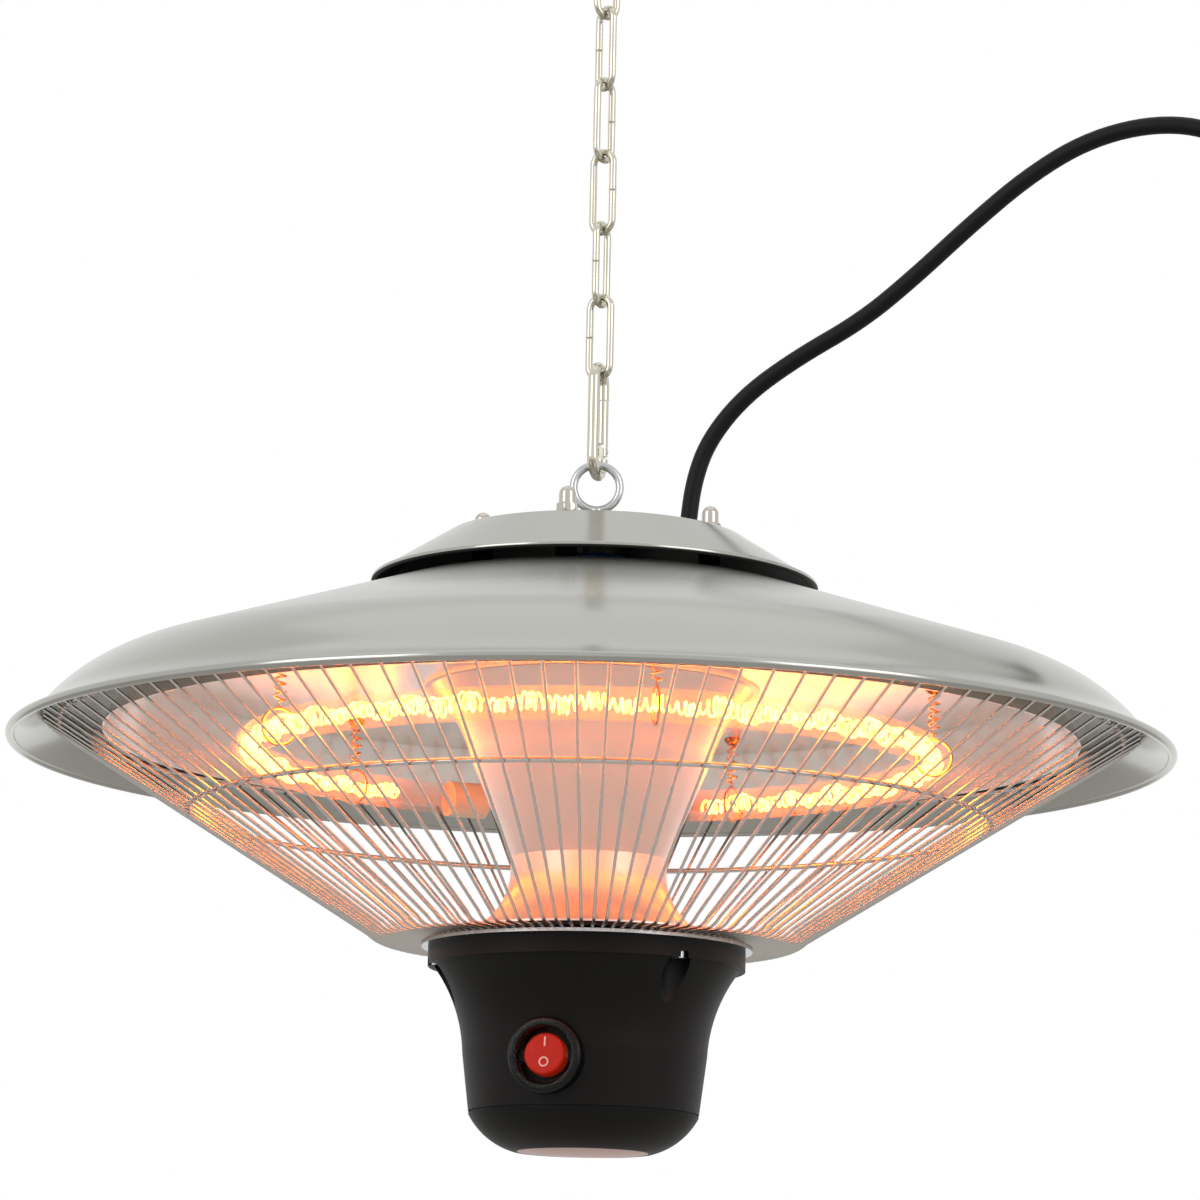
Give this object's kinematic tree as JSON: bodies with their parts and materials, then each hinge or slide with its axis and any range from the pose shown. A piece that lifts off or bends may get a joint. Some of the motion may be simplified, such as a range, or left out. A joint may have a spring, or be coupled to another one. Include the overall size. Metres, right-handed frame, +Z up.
{
  "type": "ceiling infrared heater",
  "caption": "Ceiling infrared heater: a wide metal shade on a chain, with a ring-shaped quartz element behind a wire guard, a lower switch housing and a mains cord with plug.",
  "frame": {"origin": "on the ceiling, on the axis of the anchor's sleeve", "axes": "+Z up into the ceiling, -Y to the front with the switch, +X to the side where the cord hangs"},
  "size_m": [0.481, 0.425, 0.5162],
  "materials": {
    "zinc_plated_steel": "satin",
    "nickel_plated_steel": "polished",
    "spun_aluminium": "satin",
    "polished_aluminium": "polished",
    "guard_steel": "bright",
    "black_plastic": "matte",
    "clear_plastic": "clear",
    "red_plastic": "gloss",
    "lens_plastic": "gloss",
    "quartz_glass": "clear",
    "heating_wire": "glowing",
    "ceramic": "matte",
    "terminal_plastic": "matte",
    "wire_insulation": "satin",
    "circuit_board": "satin",
    "black_rubber": "matte",
    "tinned_brass": "bright"
  },
  "bodies": {
    "ceiling_anchor": {"anchor_hook": "zinc_plated_steel", "anchor_sleeve": "zinc_plated_steel", "anchor_washer": "zinc_plated_steel", "anchor_nut": "zinc_plated_steel"},
    "link_1": {"chain_link_1": "nickel_plated_steel"},
    "link_2": {"chain_link_2": "nickel_plated_steel"},
    "link_3": {"chain_link_3": "nickel_plated_steel"},
    "link_4": {"chain_link_4": "nickel_plated_steel"},
    "link_5": {"chain_link_5": "nickel_plated_steel"},
    "link_6": {"chain_link_6": "nickel_plated_steel"},
    "snap_hook_frame": {"snap_hook": "nickel_plated_steel", "gate_rivet": "nickel_plated_steel"},
    "gate": {"snap_gate": "nickel_plated_steel"},
    "heater": {"eye_bolt": "zinc_plated_steel", "eye_washers": "zinc_plated_steel", "eye_nuts": "zinc_plated_steel", "clamp_bolts": "zinc_plated_steel", "lower_spacers": "zinc_plated_steel", "upper_spacers": "zinc_plated_steel", "cap_washers": "zinc_plated_steel", "cap_nuts": "zinc_plated_steel", "top_cover": "spun_aluminium", "shade": "spun_aluminium", "reflector": "polished_aluminium", "centre_column": "spun_aluminium", "trumpet_reflector": "polished_aluminium", "guard_wires": "guard_steel", "guard_mid_hoop": "guard_steel", "guard_top_hoop": "guard_steel", "guard_flange": "zinc_plated_steel", "spacer_ring": "black_plastic", "housing_screws": "zinc_plated_steel", "lower_housing": "black_plastic", "switch_bezel": "black_plastic", "switch_body": "black_plastic", "rocker_pin": "zinc_plated_steel", "switch_tabs": "tinned_brass", "switch_cover": "clear_plastic", "bottom_cap": "black_plastic", "lens": "lens_plastic", "control_board": "circuit_board", "receiver": "circuit_board", "terminal_block": "terminal_plastic", "supply_wires": "wire_insulation", "wire_harness": "wire_insulation", "quartz_tube": "quartz_glass", "filament": "heating_wire", "tube_end_caps": "ceramic", "element_leads": "wire_insulation", "tube_hoops": "zinc_plated_steel", "hoop_springs": "zinc_plated_steel", "cord_gland": "black_plastic", "cord_free": "black_rubber", "cord_coil": "black_rubber", "coil_tie": "black_rubber", "plug_body": "black_rubber", "plug_pins": "tinned_brass"},
    "switch_rocker": {"rocker": "red_plastic"}
  },
  "joints": [
    {"name": "link_1_swing", "type": "hinge", "parent": "ceiling_anchor", "child": "link_1", "pos_m": [0, 0, -0.034], "axis": [0.6157, -0.788, 0], "range_deg": [-35, 35]},
    {"name": "link_2_swing", "type": "hinge", "parent": "link_1", "child": "link_2", "pos_m": [0, 0, -0.0606], "axis": [0.788, 0.6157, 0], "range_deg": [-35, 35]},
    {"name": "link_3_swing", "type": "hinge", "parent": "link_2", "child": "link_3", "pos_m": [0, 0, -0.08835], "axis": [-0.5592, 0.829, 0], "range_deg": [-35, 35]},
    {"name": "link_4_swing", "type": "hinge", "parent": "link_3", "child": "link_4", "pos_m": [0, 0, -0.1161], "axis": [-0.6018, -0.7986, 0], "range_deg": [-35, 35]},
    {"name": "link_5_swing", "type": "hinge", "parent": "link_4", "child": "link_5", "pos_m": [0, 0, -0.14385], "axis": [0.788, -0.6157, 0], "range_deg": [-35, 35]},
    {"name": "link_6_swing", "type": "hinge", "parent": "link_5", "child": "link_6", "pos_m": [0, 0, -0.1716], "axis": [0.454, 0.891, 0], "range_deg": [-35, 35]},
    {"name": "snap_hook_swing", "type": "hinge", "parent": "link_6", "child": "snap_hook_frame", "pos_m": [0, 0, -0.19935], "axis": [-0.8387, 0.5446, 0], "range_deg": [-35, 35]},
    {"name": "heater_swing", "type": "hinge", "parent": "snap_hook_frame", "child": "heater", "pos_m": [0, 0, -0.2323], "axis": [-1, 0, 0], "range_deg": [-35, 35]},
    {"name": "gate_hinge", "type": "hinge", "parent": "snap_hook_frame", "child": "gate", "pos_m": [0.00179, 0.00625, -0.22615], "axis": [0.9613, -0.2756, 0], "range_deg": [0, 25], "stiffness_Nm_per_rad": 0.02, "springref_deg": -17.19},
    {"name": "rocker_hinge", "type": "hinge", "parent": "heater", "child": "switch_rocker", "pos_m": [-0.01329, -0.0409, -0.454], "axis": [0.9511, -0.309, 0], "range_deg": [0, 16]}
  ]
}
